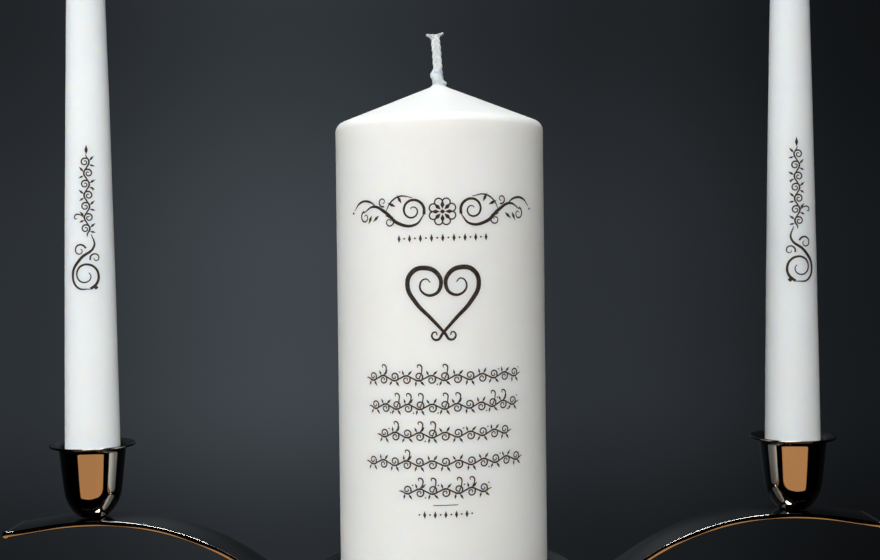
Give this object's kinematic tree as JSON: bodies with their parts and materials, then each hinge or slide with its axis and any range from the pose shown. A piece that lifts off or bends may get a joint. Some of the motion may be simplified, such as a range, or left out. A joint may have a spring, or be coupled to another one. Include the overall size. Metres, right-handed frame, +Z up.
{
  "type": "unity candle set",
  "caption": "Wedding unity candle set: a printed white pillar candle and slim tapers in cups on a polished stand with a gull-wing arm strip and a round weighted base.",
  "frame": {"origin": "on the table, under the middle of the stand's round base", "axes": "+Z up, along the candles; +X along the arm strip, to the right as seen from the printed fronts; -Y towards the viewer of the printed fronts"},
  "size_m": [0.3196, 0.128, 0.3578],
  "materials": {
    "polished_nickel": "polished",
    "fastener_steel": "satin",
    "wick_tab_tin": "satin",
    "cast_weight": "matte",
    "felt": "matte",
    "ivory_wax": "satin",
    "white_wax": "satin",
    "cotton_wick": "matte",
    "print_ink": "satin"
  },
  "bodies": {
    "stand": {"base_felt": "felt", "base_cover": "polished_nickel", "base_weight": "cast_weight", "base_washer": "fastener_steel", "base_nut": "fastener_steel", "centre_bolt": "fastener_steel", "stem": "polished_nickel", "arm_band": "polished_nickel", "plate_spacer": "polished_nickel", "pillar_plate": "polished_nickel", "taper_cup_left": "polished_nickel", "cup_nut_left": "fastener_steel", "cup_screw_left": "fastener_steel", "taper_cup_right": "polished_nickel", "cup_nut_right": "fastener_steel", "cup_screw_right": "fastener_steel"},
    "pillar_candle": {"pillar_wax": "ivory_wax", "pillar_wick": "cotton_wick", "pillar_wick_tab": "wick_tab_tin", "pillar_print": "print_ink"},
    "taper_left": {"taper_wax_left": "white_wax", "taper_wick_left": "cotton_wick", "taper_print_left": "print_ink"},
    "taper_right": {"taper_wax_right": "white_wax", "taper_wick_right": "cotton_wick", "taper_print_right": "print_ink"}
  },
  "joints": [
    {"name": "pillar_lift", "type": "slide", "parent": "stand", "child": "pillar_candle", "axis": [0, 0, 1], "range_m": [0, 0.03]},
    {"name": "taper_left_lift", "type": "slide", "parent": "stand", "child": "taper_left", "axis": [0, 0, 1], "range_m": [0, 0.04]},
    {"name": "taper_right_lift", "type": "slide", "parent": "stand", "child": "taper_right", "axis": [0, 0, 1], "range_m": [0, 0.04]}
  ]
}
